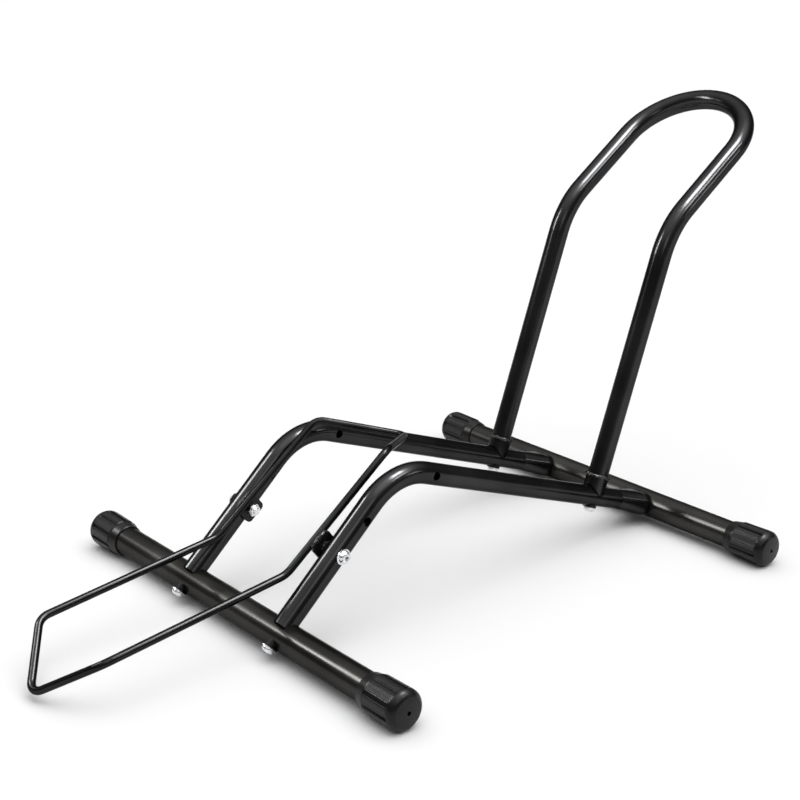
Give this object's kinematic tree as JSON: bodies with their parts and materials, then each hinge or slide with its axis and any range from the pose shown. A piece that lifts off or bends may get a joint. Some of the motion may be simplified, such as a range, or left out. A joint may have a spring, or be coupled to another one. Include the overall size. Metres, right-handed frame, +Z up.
{
  "type": "floor bike rack",
  "caption": "Knock-down floor rack for a bicycle wheel: two cross tubes with plastic end caps, bent rails, a leaning hoop and a rocking wire cradle.",
  "frame": {"origin": "on the floor, in the middle of the rack's length and width", "axes": "+X from the end where the wheel rolls in towards the hoop, +Y across the rack to its left as the wheel rolls in, +Z up"},
  "size_m": [0.7746, 0.4234, 0.3931],
  "materials": {
    "tube_enamel": "gloss black enamel",
    "cross_tube_enamel": "satin black enamel",
    "rod_enamel": "gloss black enamel",
    "bracket_enamel": "black enamel over weld",
    "cap_plastic": "moulded matte black",
    "washer_plastic": "matte black",
    "zinc_plate": "bright zinc plate",
    "plug_steel": "plain steel"
  },
  "bodies": {
    "frame": {"front_cross_tube": "cross_tube_enamel", "rear_cross_tube": "cross_tube_enamel", "front_cap_near": "cap_plastic", "front_cap_far": "cap_plastic", "rear_cap_near": "cap_plastic", "rear_cap_far": "cap_plastic", "rail_near": "tube_enamel", "rail_far": "tube_enamel", "hoop": "tube_enamel", "hoop_foot_near": "tube_enamel", "hoop_foot_far": "tube_enamel", "front_rail_bolts": "zinc_plate", "front_rail_saddle_washers": "washer_plastic", "front_rail_threaded_plugs": "plug_steel", "rear_rail_bolts": "zinc_plate", "rear_rail_saddle_washers": "washer_plastic", "rear_rail_threaded_plugs": "plug_steel", "hoop_bolts": "zinc_plate", "hoop_saddle_washers": "washer_plastic", "hoop_threaded_plugs": "plug_steel", "pivot_bolt_near": "zinc_plate", "pivot_bolt_far": "zinc_plate", "pivot_washer_near": "zinc_plate", "pivot_washer_far": "zinc_plate", "pivot_nut_near": "zinc_plate", "pivot_nut_far": "zinc_plate"},
    "cradle": {"cradle_loop": "rod_enamel", "cradle_bracket_near": "bracket_enamel", "cradle_bracket_far": "bracket_enamel"}
  },
  "joints": [
    {"name": "cradle_rock", "type": "hinge", "parent": "frame", "child": "cradle", "pos_m": [-0.14958, 0, 0.07371], "axis": [0, 1, 0], "range_deg": [-1.3, 54]}
  ]
}
